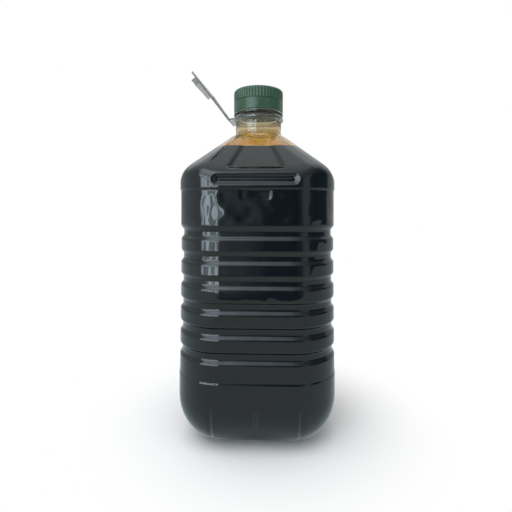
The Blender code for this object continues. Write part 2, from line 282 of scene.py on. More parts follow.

# Moulded plastics: grain and patches, green of the cap, clear and milky tints of the handle, and painted
# shade on the handle's ring and on the edges of its strap
PATCH_SCALE = 130.0
GRAIN_SCALE = 2600.0
CAP_GRAIN = 0.00003
HANDLE_GRAIN = 0.00002
CAP_GREEN = (0.028, 0.073, 0.041)
CAP_GREEN_DULL = (0.034, 0.083, 0.048)
CAP_GREEN_NEAR_TOP = (0.050, 0.110, 0.068)
CAP_PALER_TOP_HEIGHT = 0.004
CAP_PALER_TOP_SHARE = 0.5
CAP_ROUGHNESS = 0.27
CAP_DULLER_IN_PATCHES = 0.08
HANDLE_CLEAR = (0.66, 0.67, 0.63)
# painted shade on the edges of the strap
STRAP_EDGE_SHADE = (0.26, 0.27, 0.26)
STRAP_EDGE_FACING = (0.8, 0.5)
# painted shade on the ring round the neck
RING_PAINTED_SHADE = (0.42, 0.47, 0.41)
HANDLE_MILK = (0.86, 0.87, 0.84)
HANDLE_MILK_DULL = (0.74, 0.75, 0.72)
MILK_IN_RING = 0.05
MILK_IN_STRAP = 0.30
MILK_IN_GRIP = 0.50
MILKY_ROUGHNESS = 0.30

# Floor
FLOOR_HALF = 3.0
FLOOR_FRONT = 0.74
FLOOR_DROP = 0.0002
FLOOR_PAINT = (0.93, 0.93, 0.93)
FLOOR_ROUGHNESS = 0.8
# painted reflection of the floor in the plastic: its glow, a painted shadow under the jug and painted
# window light towards the left
FLOOR_PAINTED_REFLECTION = (0.55, 0.65, 0.67)
FLOOR_PAINTED_SHADOW = (0.08, 0.09, 0.09)
FLOOR_SHADE_TO = 0.07
FLOOR_WHITE_FROM = 0.20
FLOOR_PAINTED_SHADOW_TO = 0.048
FLOOR_PAINTED_SHADOW_END = 0.080
FLOOR_PAINTED_WINDOW_LIGHT = (0.68, 0.80, 0.84)
PAINTED_WINDOW_LIGHT_FROM = -0.05
PAINTED_WINDOW_LIGHT_TO = -0.45

SIDES = 432
BODY_STEP = 0.0009
BASE_STEPS = 36
PIECES = bpy.context.scene.collection


def make_object(name, mesh, material=None):
    thing = bpy.data.objects.new(name, mesh)
    PIECES.objects.link(thing)
    if material:
        mesh.materials.append(material)
    return thing


def object_from_shape(name, shape, material=None, smooth=True, angle=math.radians(40)):
    mesh = bpy.data.meshes.new(name)
    shape.to_mesh(mesh)
    shape.free()
    if smooth:
        mesh.shade_smooth()
        mesh.set_sharp_from_angle(angle=angle)
    return make_object(name, mesh, material)


# Form of the bottle

def smooth_step(value, low, high):
    share = np.clip((value - low) / (high - low), 0.0, 1.0)
    return share * share * (3 - 2 * share)


def angle_from_side(angle):
    """Signed turn from the middle of the nearest side."""
    return (angle + math.pi / 4) % (math.pi / 2) - math.pi / 4


def rounded_square(angle, half, corner):
    """Distance from the axis to the edge of a rounded square."""
    from_side = np.abs(angle_from_side(angle))
    corner = np.minimum(corner, half)
    centre = half - corner
    flat = half / np.cos(from_side)
    reach = centre * (np.cos(from_side) + np.sin(from_side))
    round_part = reach + np.sqrt(np.maximum(reach ** 2 - 2 * centre ** 2 + corner ** 2, 0.0))
    return np.where(np.tan(from_side) * half <= centre, flat, round_part)


def smooth_least(first, second, blend):
    share = np.clip(0.5 + 0.5 * (second - first) / blend, 0.0, 1.0)
    return second * (1 - share) + first * share - blend * share * (1 - share)


def body_half(height):
    """Half width of the straight body with its step, ribs, label panel and bulge."""
    share = (height - BASE_TOP) / (TOP_GROOVE - BASE_TOP)
    half = LOWER_RIB_HALF + (UPPER_RIB_HALF - LOWER_RIB_HALF) * np.clip(share, 0.0, 1.0)
    for index in range(GROOVE_COUNT):
        from_middle = np.abs(height - (TOP_GROOVE - index * GROOVE_PITCH))
        slope = np.clip((from_middle - GROOVE_FLOOR_HALF) / (GROOVE_REACH - GROOVE_FLOOR_HALF), 0.0, 1.0)
        half = half - GROOVE_DEPTH * (1 - 0.5 * slope - 0.5 * slope * slope * (3 - 2 * slope))
    on_panel = smooth_step(height - PANEL_BOTTOM, *PANEL_STEP)
    half = half + (PANEL_HALF - UPPER_RIB_HALF) * on_panel
    half = half + (BULGE_HALF - PANEL_HALF) * smooth_step(height, PANEL_TOP, BULGE_BOTTOM)
    base_share = 1 - smooth_step(height, BASE_TOP - STEP_SPAN / 2, BASE_TOP + STEP_SPAN / 2)
    return half + (BASE_HALF - LOWER_RIB_HALF) * base_share


def shoulder_distance(angle, height):
    """Distance from the axis to the sloping shoulder, round at the neck and squarer below."""
    half = NECK_RADIUS + (NECK_BOTTOM - height) * SHOULDER_SLOPE
    corner = np.where(half < NECK_RADIUS + 0.003, NECK_RADIUS, SHOULDER_CORNER)
    return rounded_square(angle, np.maximum(half, NECK_RADIUS), corner)


def finger_recess(angle, height, distance):
    """Depth of the long recess with round ends on each side of the bulge."""
    across = distance * np.sin(angle_from_side(angle))
    end = RECESS_HALF_WIDTH - RECESS_HALF_HEIGHT
    past_end = np.maximum(np.abs(across) - end, 0.0)
    from_line = np.hypot(past_end, height - RECESS_MIDDLE)
    return RECESS_DEPTH * (1 - smooth_step(from_line, RECESS_FLOOR_HALF, RECESS_HALF_HEIGHT))


def label_mark(angle, height, distance):
    """Shallow sunk mark that hangs from the top of the label panel, in front and behind."""
    across = np.abs(distance * np.sin(angle_from_side(angle))) - (MARK_HALF_WIDTH - MARK_CORNER)
    below = (MARK_BOTTOM + MARK_CORNER) - height
    from_edge = np.hypot(np.maximum(across, 0.0), np.maximum(below, 0.0)) - MARK_CORNER
    on_side = np.abs(np.sin(angle)) > 0.8
    under_bulge = 1 - smooth_step(height, PANEL_TOP - 0.0010, PANEL_TOP)
    return MARK_DEPTH * (1 - smooth_step(from_edge, -MARK_EDGE, 0.0)) * on_side * under_bulge


def sunk_panel(angle, height):
    """Depth, measured level, of the sunk panel in each side of the shoulder, with its lower corners cut."""
    half = NECK_RADIUS + (NECK_BOTTOM - height) * SHOULDER_SLOPE
    sideways = half * (np.tan(np.abs(angle_from_side(angle))) - math.tan(SUNK_EDGE_ANGLE))
    downward = (SUNK_BOTTOM - height) * SUNK_LOWER_STEEPNESS
    corner = (sideways + downward) / math.sqrt(2) + SUNK_CORNER_CUT / 2
    outside = np.maximum(np.maximum(sideways, downward), corner)
    fade = np.clip((NECK_BOTTOM - height) / SUNK_FADE, 0.0, 1.0)
    inside = 1 - smooth_step(outside, -SUNK_BEVEL, 0.0)
    lean = 1 + SUNK_LEAN * ((height - SUNK_BOTTOM) / (NECK_BOTTOM - SUNK_BOTTOM) - 0.5)
    return SUNK_DEPTH * math.sqrt(1 + SHOULDER_SLOPE ** 2) * inside * fade * lean


def skin_distance(angle, height, half):
    """Distance from the axis to the outer skin of body and shoulder."""
    corner = np.maximum(BASE_CORNER - (BASE_HALF - half), BODY_CORNER_LEAST)
    distance = rounded_square(angle, half, corner)
    with_shoulder = smooth_least(distance, shoulder_distance(angle, height), SHOULDER_BLEND)
    distance = np.where(height > BULGE_BOTTOM, with_shoulder, distance)
    distance = distance - finger_recess(angle, height, distance)
    distance = distance - label_mark(angle, height, distance)
    return distance - sunk_panel(angle, height)


def base_curve(steps):
    """Push-up, standing ring and rounded edge of the base, as heights and half widths."""
    points = [(PUSH_UP_DEPTH, FOOT_HALF * share) for share in (0.10, 0.35, 0.50)]
    points += [(PUSH_UP_DEPTH * 0.55, FOOT_HALF * 0.75), (0.0006, FOOT_HALF - FOOT_WIDTH - 0.0008)]
    points += [(0.0, FOOT_HALF - FOOT_WIDTH), (0.0, FOOT_HALF)]
    for step in range(1, steps + 1):
        turn = step / steps * math.pi / 2
        height = FOOT_RISE * (1 - math.cos(turn))
        points.append((height, FOOT_HALF + (BASE_HALF - FOOT_HALF) * math.sin(turn)))
    return points


def neck_curve():
    """Fillet, neck, collar and mouth, as heights and radii."""
    points = [(NECK_BOTTOM + 0.0004, NECK_RADIUS + 0.0001), (NECK_BOTTOM + 0.0012, NECK_RADIUS)]
    points += [(COLLAR_BOTTOM - 0.0004, NECK_RADIUS), (COLLAR_BOTTOM, NECK_RADIUS + 0.0004)]
    points += [(COLLAR_BOTTOM + 0.0001, COLLAR_RADIUS - 0.0005), (COLLAR_BOTTOM + 0.0006, COLLAR_RADIUS)]
    points += [(COLLAR_TOP - 0.0006, COLLAR_RADIUS), (COLLAR_TOP - 0.0001, COLLAR_RADIUS - 0.0005)]
    points += [(COLLAR_TOP, NECK_RADIUS), (MOUTH_TOP, NECK_RADIUS)]
    return points


def petal_depth(angle, height, distance):
    """Depth of the shallow upright grooves that run up the rounded base from the foot."""
    across = distance * np.sin(angle_from_side(angle))
    depth = np.zeros_like(angle)
    for middle in PETAL_MIDDLES:
        depth = np.maximum(depth, 1 - np.clip(np.abs(across - middle) / PETAL_HALF_WIDTH, 0.0, 1.0))
    rise = smooth_step(height, 0.0004, 0.004) * (1 - smooth_step(height, PETAL_TOP - 0.006, PETAL_TOP))
    return PETAL_DEPTH * depth * rise


def bottle_grid(body_step, base_steps):
    """Points of the outer skin, ring by ring, as an array of rings by sides by 3."""
    angles = np.arange(SIDES) * 2 * math.pi / SIDES
    rings = []
    for height, half in base_curve(base_steps):
        level = np.full(SIDES, height)
        distance = skin_distance(angles, level, np.full(SIDES, half))
        distance = distance - petal_depth(angles, level, distance)
        rings.append((distance, level))
    count = max(int((NECK_BOTTOM - FOOT_RISE) / body_step), 2)
    for height in np.linspace(FOOT_RISE, NECK_BOTTOM, count + 1)[1:]:
        level = np.full(SIDES, height)
        rings.append((skin_distance(angles, level, body_half(level)), level))
    for height, radius in neck_curve():
        rings.append((np.full(SIDES, radius), np.full(SIDES, height)))
    distance = np.array([ring[0] for ring in rings])
    level = np.array([ring[1] for ring in rings])
    return np.stack([distance * np.cos(angles), distance * np.sin(angles), level], axis=2)


def grid_normals(grid):
    """Outward normals of a ring grid, from the two directions along it."""
    around = np.roll(grid, -1, axis=1) - np.roll(grid, 1, axis=1)
    upward = np.gradient(grid, axis=0)
    normals = np.cross(around, upward)
    return normals / np.maximum(np.linalg.norm(normals, axis=2, keepdims=True), 1e-12)


def join_rings(shape, rings):
    """Four-sided faces between each closed ring of points and the next."""
    for lower, upper in zip(rings, rings[1:]):
        count = len(lower)
        for index in range(count):
            after = (index + 1) % count
            shape.faces.new((lower[index], lower[after], upper[after], upper[index]))


def shape_from_grids(outer, inner=None):
    """One mesh from an outer grid and, if given, an inner grid that meets it at the mouth."""
    shape = bmesh.new()
    rings = [[shape.verts.new(point) for point in ring] for ring in outer]
    shape.faces.new(rings[0][::-1])
    if inner is not None:
        inner_rings = [[shape.verts.new(point) for point in ring] for ring in inner]
        shape.faces.new(inner_rings[0])
        rings += inner_rings[::-1]
    join_rings(shape, rings)
    shape.normal_update()
    return shape


def fewer_rings(grid):
    """Every third ring up to the finger recesses, and all above."""
    number = np.arange(len(grid))
    return grid[(number % 3 == 0) | (grid[:, :, 2].mean(axis=1) > BULGE_BOTTOM)]


def make_bottle(material):
    """Skin and the inner side of its wall, which runs straight up through the neck."""
    outer = bottle_grid(BODY_STEP, BASE_STEPS)
    inner = outer - grid_normals(outer) * WALL
    is_neck = outer[:, :, 2] > NECK_BOTTOM - 0.0001
    radius = np.linalg.norm(inner[:, :, :2], axis=2, keepdims=True)
    straight = inner.copy()
    straight[:, :, :2] = inner[:, :, :2] / np.maximum(radius, 1e-9) * NECK_BORE
    straight[:, :, 2] = outer[:, :, 2]
    inner = np.where(is_neck[:, :, None], straight, inner)
    shape = shape_from_grids(outer, fewer_rings(inner))
    return object_from_shape("bottle_skin", shape, material, angle=math.radians(60))


def make_vinegar(material):
    """Vinegar out to just inside the wall, cut flat at its level."""
    outer = bottle_grid(BODY_STEP, BASE_STEPS)
    grid = outer - grid_normals(outer) * (WALL - LIQUID_IN_WALL)
    shape = shape_from_grids(fewer_rings(grid))
    everything = list(shape.verts) + list(shape.edges) + list(shape.faces)
    cut = bmesh.ops.bisect_plane(shape, geom=everything, dist=0.000001, clear_outer=True,
                                 plane_co=(0, 0, LIQUID_LEVEL), plane_no=(0, 0, 1))
    rim = [part for part in cut["geom_cut"] if isinstance(part, bmesh.types.BMEdge)]
    bmesh.ops.edgeloop_fill(shape, edges=rim)
    bmesh.ops.recalc_face_normals(shape, faces=shape.faces)
    return object_from_shape("vinegar_fill", shape, material, angle=math.radians(60))


def make_drops(material):
    """Small drops of vinegar that cling to the inside of the shoulder above the level."""
    chance = random.Random(DROP_SEED)
    shape = bmesh.new()
    for _ in range(DROP_COUNT):
        angle = chance.uniform(-math.pi, math.pi)
        height = chance.uniform(DROPS_LOW, DROPS_HIGH)
        size = chance.uniform(DROP_SMALLEST, 1.0) * DROP_RADIUS
        skin = skin_distance(np.array([angle]), np.array([height]), np.array([BULGE_HALF]))
        reach = float(skin[0]) - DROP_FROM_SKIN
        place = Matrix.Translation((reach * math.cos(angle), reach * math.sin(angle), height))
        bmesh.ops.create_icosphere(shape, subdivisions=2, radius=size, matrix=place)
    return object_from_shape("vinegar_drops", shape, material, angle=math.pi)


def cap_profile():
    """Outer side of the cap from its lower rim to its top, as radius, height and share of rib."""
    rim = 0.0003
    groove = CAP_RADIUS - CAP_GROOVE_DEPTH
    profile = [(CAP_RADIUS - rim, CAP_BOTTOM, 0.0), (CAP_RADIUS, CAP_BOTTOM + 0.0004, 0.0)]
    profile += [(CAP_RADIUS, CAP_GROOVE - 0.0009, 0.0), (groove, CAP_GROOVE - 0.0005, 0.0)]
    profile += [(groove, CAP_GROOVE + 0.0003, 0.0), (CAP_RADIUS, CAP_GROOVE + 0.0008, 0.3)]
    profile += [(CAP_RADIUS, CAP_GROOVE + 0.0014, 1.0), (CAP_RADIUS, CAP_TOP - CAP_EDGE - 0.0004, 1.0)]
    for step in range(1, CAP_EDGE_STEPS + 1):
        turn = step / CAP_EDGE_STEPS * math.pi / 2
        radius = CAP_RADIUS - CAP_EDGE * (1 - math.cos(turn))
        height = CAP_TOP - CAP_EDGE * (1 - math.sin(turn))
        profile.append((radius, height, max(1.0 - step / 5, 0.0)))
    sunk_top = CAP_TOP - 0.0004
    profile += [(CAP_RADIUS * 0.72, CAP_TOP, 0.0), (CAP_RADIUS * 0.68, sunk_top, 0.0)]
    profile.append((CAP_RADIUS * 0.1, sunk_top, 0.0))
    return profile


def make_cap(material):
    """Screw cap, hollow, with a gripping band of fine upright ribs over a plain band."""
    turns = np.arange(CAP_STEPS) * 2 * math.pi / CAP_STEPS
    wave = np.sqrt(np.abs(np.cos(turns * CAP_KNURLS / 2)))
    inner = CAP_RADIUS - CAP_WALL
    ceiling = CAP_TOP - CAP_WALL
    levels = [(inner * 0.1, ceiling, 0.0), (inner, ceiling, 0.0), (inner, CAP_BOTTOM, 0.0)]
    levels += cap_profile()
    shape = bmesh.new()
    rings = []
    for radius, height, rib in levels:
        reach = radius - CAP_KNURL_DEPTH * rib * (1 - wave)
        places = zip(reach * np.cos(turns), reach * np.sin(turns))
        rings.append([shape.verts.new((x, y, height)) for x, y in places])
    join_rings(shape, rings)
    shape.faces.new(rings[0][::-1])
    shape.faces.new(rings[-1])
    bmesh.ops.recalc_face_normals(shape, faces=shape.faces)
    return object_from_shape("screw_cap", shape, material, angle=math.radians(30))


# Handle

def loop_frame():
    """Plane of the leaning loop: its X runs up the lean from the hinge, its Y across."""
    outward = Vector((-math.cos(HANDLE_TURN), -math.sin(HANDLE_TURN), 0.0))
    across = Vector((-outward.y, outward.x, 0.0))
    up_lean = outward * math.cos(HANDLE_LEAN) + Vector((0, 0, 1)) * math.sin(HANDLE_LEAN)
    place = Matrix((up_lean, across, up_lean.cross(across))).transposed().to_4x4()
    place.translation = outward * HINGE_DISTANCE + Vector((0, 0, RING_BOTTOM + TAB_THICKNESS / 2))
    return place


def rounded_corners(corners, radius, steps=5):
    loop = []
    for index, corner in enumerate(corners):
        here = Vector(corner)
        before = Vector(corners[index - 1])
        after = Vector(corners[(index + 1) % len(corners)])
        start = here + (before - here).normalized() * radius
        end = here + (after - here).normalized() * radius
        for step in range(steps + 1):
            share = step / steps
            point = start.lerp(here, share).lerp(here.lerp(end, share), share)
            loop.append((point.x, point.y))
    return loop


def flat_plate(name, loops, thickness, place):
    """Closed mesh of a flat plate from its edge and holes, at its place."""
    curve = bpy.data.curves.new(name, "CURVE")
    curve.dimensions = "2D"
    curve.fill_mode = "BOTH"
    curve.extrude = thickness / 2
    for loop in loops:
        spline = curve.splines.new("POLY")
        spline.points.add(len(loop) - 1)
        spline.use_cyclic_u = True
        for point, (x, y) in zip(spline.points, loop):
            point.co = (x, y, 0.0, 1.0)
    thing = bpy.data.objects.new(name, curve)
    PIECES.objects.link(thing)
    bpy.context.view_layer.update()
    mesh = bpy.data.meshes.new_from_object(thing.evaluated_get(bpy.context.evaluated_depsgraph_get()))
    bpy.data.objects.remove(thing, do_unlink=True)
    shape = bmesh.new()
    shape.from_mesh(mesh)
    bmesh.ops.remove_doubles(shape, verts=shape.verts, dist=0.00001)
    bmesh.ops.recalc_face_normals(shape, faces=shape.faces)
    bmesh.ops.transform(shape, matrix=place, verts=shape.verts)
    return shape


def box_shape(low, high, place):
    shape = bmesh.new()
    size = Matrix.Diagonal(Vector(high) - Vector(low)).to_4x4()
    middle = Matrix.Translation((Vector(high) + Vector(low)) / 2)
    bmesh.ops.create_cube(shape, size=1.0, matrix=place @ middle @ size)
    return shape


def ring_shape():
    """The handle's ring, turned round the neck from its cross-section."""
    shape = bmesh.new()
    edge = 0.0008
    profile = [(RING_INNER, RING_TOP), (RING_OUTER - edge, RING_TOP), (RING_OUTER, RING_TOP - edge)]
    profile += [(RING_OUTER, RING_BOTTOM + edge), (RING_OUTER - edge, RING_BOTTOM)]
    profile.append((RING_INNER, RING_BOTTOM))
    steps = 96
    rings = []
    for step in range(steps):
        turn = step * 2 * math.pi / steps
        rings.append([shape.verts.new((r * math.cos(turn), r * math.sin(turn), z)) for r, z in profile])
    join_rings(shape, rings + rings[:1])
    bmesh.ops.recalc_face_normals(shape, faces=shape.faces)
    return shape


def tab_outline():
    """Flat tab from the ring to the hinge, cut round the neck."""
    bore = RING_INNER + 0.0004
    side = RING_OUTER - 0.0004
    end = HINGE_DISTANCE + TAB_END
    outline = [(TAB_START, side), (end, HINGE_HALF), (end, -HINGE_HALF), (TAB_START, -side)]
    for step in range(TAB_STEPS + 1):
        turn = TAB_HALF_TURN * (2 * step / TAB_STEPS - 1)
        outline.append((bore * math.cos(turn), bore * math.sin(turn)))
    return outline


def loop_outlines():
    """Edge of the leaning loop, narrow at the hinge, and its finger hole."""
    edge = [(LOOP_START, -HINGE_HALF), (LOOP_WIDEST, -LOOP_HALF), (LOOP_LENGTH, -LOOP_TIP_HALF)]
    edge += [(LOOP_LENGTH, LOOP_TIP_HALF), (LOOP_WIDEST, LOOP_HALF), (LOOP_START, HINGE_HALF)]
    arm = ARM_WIDTH * ARM_SLANT
    narrow = HINGE_HALF + (LOOP_HALF - HINGE_HALF) * HOLE_START / LOOP_WIDEST - arm
    hole = [(HOLE_START, -narrow), (LOOP_WIDEST, -LOOP_HALF + arm), (BAR_START, -BAR_HALF)]
    hole += [(BAR_START, BAR_HALF), (LOOP_WIDEST, LOOP_HALF - arm), (HOLE_START, narrow)]
    corner_steps = 5
    per_corner = corner_steps + 1
    rounded = rounded_corners(edge, LOOP_CORNER, corner_steps)[per_corner:-per_corner]
    return [edge[:1] + rounded + edge[-1:], rounded_corners(hole, HOLE_CORNER, corner_steps)]


def grip_boxes():
    """Low and high corners of the two long walls and the cross ribs under the grip, in the loop's frame."""
    floor = -LOOP_THICKNESS / 2
    low = BAR_START + 0.0004
    high = LOOP_LENGTH - TIP_INSET
    boxes = []
    for start, end in ((low, low + GRIP_WALL), (high - GRIP_WALL, high)):
        boxes.append(((start, -GRIP_HALF, floor - GRIP_DEPTH), (end, GRIP_HALF, OVERLAP)))
    for index in range(GRIP_RIBS + 2):
        is_end = index in (0, GRIP_RIBS + 1)
        middle = -GRIP_HALF + GRIP_WALL / 2 + index * (2 * GRIP_HALF - GRIP_WALL) / (GRIP_RIBS + 1)
        bottom = floor - GRIP_DEPTH + (0.0002 if is_end else 0.0008)
        boxes.append(((low + 0.0005, middle - GRIP_WALL / 2, bottom),
                      (high - 0.0005, middle + GRIP_WALL / 2, OVERLAP)))
    return boxes


def handle_shapes():
    """The parts that are joined to the ring, each at its place."""
    place = loop_frame()
    turn = Matrix.Rotation(math.pi + HANDLE_TURN, 4, "Z")
    tab_place = Matrix.Translation((0, 0, RING_BOTTOM + TAB_THICKNESS / 2)) @ turn
    shapes = [flat_plate("tab", [tab_outline()], TAB_THICKNESS, tab_place)]
    shapes.append(flat_plate("loop", loop_outlines(), LOOP_THICKNESS, place))
    shapes += [box_shape(low, high, place) for low, high in grip_boxes()]
    return shapes


def keep_largest_island(mesh):
    """Take out the stray slivers that a union can leave."""
    shape = bmesh.new()
    shape.from_mesh(mesh)
    bmesh.ops.remove_doubles(shape, verts=shape.verts, dist=0.000002)
    islands = []
    seen = set()
    for start in shape.faces:
        if start in seen:
            continue
        island = {start}
        waiting = [start]
        while waiting:
            face = waiting.pop()
            for edge in face.edges:
                for other in edge.link_faces:
                    if other not in island:
                        island.add(other)
                        waiting.append(other)
        seen |= island
        islands.append(island)
    largest = max(islands, key=len)
    stray = [face for face in shape.faces if face not in largest]
    bmesh.ops.delete(shape, geom=stray, context="FACES")
    shape.to_mesh(mesh)
    shape.free()


def make_handle(material):
    """Moulded handle: ring, tab, loop and ribbed grip, joined, with softened edges."""
    handle = object_from_shape("carry_handle", ring_shape(), material, smooth=False)
    pieces = bpy.data.collections.new("handle_pieces")
    for index, shape in enumerate(handle_shapes()):
        mesh = bpy.data.meshes.new("handle_piece_%d" % index)
        shape.to_mesh(mesh)
        shape.free()
        pieces.objects.link(bpy.data.objects.new(mesh.name, mesh))
    union = handle.modifiers.new("Union", "BOOLEAN")
    union.operation = "UNION"
    union.solver = "EXACT"
    union.operand_type = "COLLECTION"
    union.collection = pieces
    bpy.context.view_layer.update()
    mesh = bpy.data.meshes.new_from_object(handle.evaluated_get(bpy.context.evaluated_depsgraph_get()))
    keep_largest_island(mesh)
    handle.modifiers.clear()
    handle.data = mesh
    for piece in list(pieces.objects):
        bpy.data.objects.remove(piece, do_unlink=True)
    bpy.data.collections.remove(pieces)
    return handle


# Materials

def new_material(name):
    material = bpy.data.materials.new(name)
    material.use_nodes = True
    tree = material.node_tree
    return material, tree, tree.nodes["Principled BSDF"]


def add_math(tree, operation, first, second=None, clamp=False):
    """One arithmetic node; each input is a socket or a number."""
    node = tree.nodes.new("ShaderNodeMath")
    node.operation = operation
    node.use_clamp = clamp
    for index, value in enumerate((first, second)):
        if isinstance(value, (int, float)):
            node.inputs[index].default_value = value
        elif value is not None:
            tree.links.new(value, node.inputs[index])
    return node.outputs[0]


def add_step(tree, value, low, high):
    """A soft step from 0 at low to 1 at high."""
    node = tree.nodes.new("ShaderNodeMapRange")
    node.interpolation_type = "SMOOTHSTEP"
    node.inputs["From Min"].default_value = low
    node.inputs["From Max"].default_value = high
    tree.links.new(value, node.inputs["Value"])
    return node.outputs["Result"]


def add_ramp(tree, value, stops):
    """A colour ramp whose stops are pairs of a place from 0 to 1 and a colour."""
    node = tree.nodes.new("ShaderNodeValToRGB")
    tree.links.new(value, node.inputs["Fac"])
    ramp = node.color_ramp
    while len(ramp.elements) < len(stops):
        ramp.elements.new(0.5)
    for element, (place, colour) in zip(ramp.elements, stops):
        element.position = place
        element.color = (*colour, 1)
    return node.outputs["Color"]


def add_mix(tree, share, first, second, blend="MIX"):
    node = tree.nodes.new("ShaderNodeMix")
    node.data_type = "RGBA"
    node.blend_type = blend
    if isinstance(share, (int, float)):
        node.inputs["Factor"].default_value = share
    else:
        tree.links.new(share, node.inputs["Factor"])
    for socket, value in ((node.inputs[6], first), (node.inputs[7], second)):
        if isinstance(value, tuple):
            socket.default_value = (*value, 1)
        else:
            tree.links.new(value, socket)
    return node.outputs[2]


def add_mix_shader(tree, share, first, second):
    node = tree.nodes.new("ShaderNodeMixShader")
    for socket, value in zip(node.inputs, (share, first, second)):
        tree.links.new(value, socket)
    return node.outputs[0]


def add_noise(tree, place, scale, detail=2.0):
    node = tree.nodes.new("ShaderNodeTexNoise")
    node.inputs["Scale"].default_value = scale
    node.inputs["Detail"].default_value = detail
    tree.links.new(place, node.inputs["Vector"])
    return node.outputs["Fac"]


def add_length_along(tree, vector, direction):
    node = tree.nodes.new("ShaderNodeVectorMath")
    node.operation = "DOT_PRODUCT"
    node.inputs[1].default_value = direction
    tree.links.new(vector, node.inputs[0])
    return node.outputs["Value"]


def show_surface(tree, surface):
    tree.links.new(surface, tree.nodes["Material Output"].inputs["Surface"])


def object_place(tree):
    """The surface point in the jug's own frame, whole and as its three parts."""
    where = tree.nodes.new("ShaderNodeTexCoord")
    split = tree.nodes.new("ShaderNodeSeparateXYZ")
    tree.links.new(where.outputs["Object"], split.inputs[0])
    return where.outputs["Object"], split.outputs


def stain_and_shade_by_height(tree, height):
    """Amber above the vinegar, paler up the neck with a painted shade arc near its foot and painted shade
    on the collar, and black where vinegar lies behind the skin.
    """
    level = tree.nodes.new("ShaderNodeMapRange")
    level.inputs["From Min"].default_value = LIQUID_LEVEL
    level.inputs["From Max"].default_value = COLLAR_TOP
    tree.links.new(height, level.inputs["Value"])
    # amber stain, with painted shade in the arc above the neck's foot and on the collar
    amber_and_shade = add_ramp(tree, level.outputs["Result"], STAIN_AND_SHADE_STOPS)
    wet = add_step(tree, height, LIQUID_LEVEL - 0.0001, LIQUID_LEVEL - 0.0004)
    return add_mix(tree, wet, amber_and_shade, WET_SKIN)


def uneven_wall(tree, place, height):
    """Normal of a blown wall, which swells most in the label panel and not at all in the neck."""
    above = add_step(tree, height, PANEL_BOTTOM, PANEL_BOTTOM + SWELL_FADE)
    below = add_step(tree, height, PANEL_TOP, PANEL_TOP - SWELL_FADE)
    on_panel = add_math(tree, "MULTIPLY", above, below)
    on_body = add_step(tree, height, NECK_BOTTOM, NECK_BOTTOM - SWELL_FADE)
    amount = add_math(tree, "ADD", add_math(tree, "MULTIPLY", on_panel, 1 - SWELL_ELSEWHERE),
                      add_math(tree, "MULTIPLY", on_body, SWELL_ELSEWHERE))
    wave = add_math(tree, "SUBTRACT", add_noise(tree, place, SWELL_SCALE, 1.0), 0.5)
    bump = tree.nodes.new("ShaderNodeBump")
    bump.inputs["Strength"].default_value = 1.0
    bump.inputs["Distance"].default_value = SWELL_HEIGHT
    tree.links.new(add_math(tree, "MULTIPLY", wave, amount), bump.inputs["Height"])
    return bump.outputs["Normal"]


def make_clear_plastic():
    """Clear blown plastic with an uneven wall, and a slight haze on the neck."""
    material, tree, shader = new_material("Clear blown plastic")
    place, (_, _, height) = object_place(tree)
    shader.inputs["Transmission Weight"].default_value = 1.0
    shader.inputs["Roughness"].default_value = BOTTLE_ROUGHNESS
    shader.inputs["IOR"].default_value = BOTTLE_IOR
    tree.links.new(stain_and_shade_by_height(tree, height), shader.inputs["Base Color"])
    tree.links.new(uneven_wall(tree, place, height), shader.inputs["Normal"])
    haze = tree.nodes.new("ShaderNodeBsdfPrincipled")
    haze.inputs["Base Color"].default_value = (*HAZE_TINT, 1)
    haze.inputs["Roughness"].default_value = HAZE_ROUGHNESS
    on_neck = add_math(tree, "MULTIPLY", add_step(tree, height, NECK_BOTTOM, NECK_BOTTOM + HAZE_FADE),
                       add_step(tree, height, COLLAR_BOTTOM, RING_BOTTOM))
    share = add_math(tree, "MULTIPLY", on_neck, NECK_HAZE)
    show_surface(tree, add_mix_shader(tree, share, shader.outputs[0], haze.outputs[0]))
    return material


def make_vinegar_material():
    """Near black, and brown in the thin edge at its level."""
    material, tree, shader = new_material("Balsamic vinegar")
    shader.inputs["Roughness"].default_value = VINEGAR_ROUGHNESS
    shader.inputs["Specular IOR Level"].default_value = 0.0
    _, (_, _, height) = object_place(tree)
    edge = add_step(tree, height, LIQUID_LEVEL - VINEGAR_EDGE_DEPTH, LIQUID_LEVEL - 0.0002)
    tree.links.new(add_mix(tree, edge, VINEGAR, VINEGAR_EDGE), shader.inputs["Base Color"])
    return material


def moulded_surface():
    """Shared group: patchy sheen and fine grain of moulded plastic, as a mask and a normal."""
    group = bpy.data.node_groups.new("Moulded surface", "ShaderNodeTree")
    group.interface.new_socket("Place", in_out="INPUT", socket_type="NodeSocketVector")
    group.interface.new_socket("Grain depth", in_out="INPUT", socket_type="NodeSocketFloat")
    group.interface.new_socket("Patches", in_out="OUTPUT", socket_type="NodeSocketFloat")
    group.interface.new_socket("Normal", in_out="OUTPUT", socket_type="NodeSocketVector")
    given = group.nodes.new("NodeGroupInput")
    result = group.nodes.new("NodeGroupOutput")
    patches = add_noise(group, given.outputs["Place"], PATCH_SCALE, 3.0)
    bump = group.nodes.new("ShaderNodeBump")
    group.links.new(add_noise(group, given.outputs["Place"], GRAIN_SCALE), bump.inputs["Height"])
    group.links.new(given.outputs["Grain depth"], bump.inputs["Distance"])
    group.links.new(add_step(group, patches, 0.35, 0.65), result.inputs["Patches"])
    group.links.new(bump.outputs["Normal"], result.inputs["Normal"])
    return group


def add_moulded(tree, group, place, grain_depth):
    node = tree.nodes.new("ShaderNodeGroup")
    node.node_tree = group
    node.inputs["Grain depth"].default_value = grain_depth
    tree.links.new(place, node.inputs["Place"])
    return node.outputs["Patches"], node.outputs["Normal"]


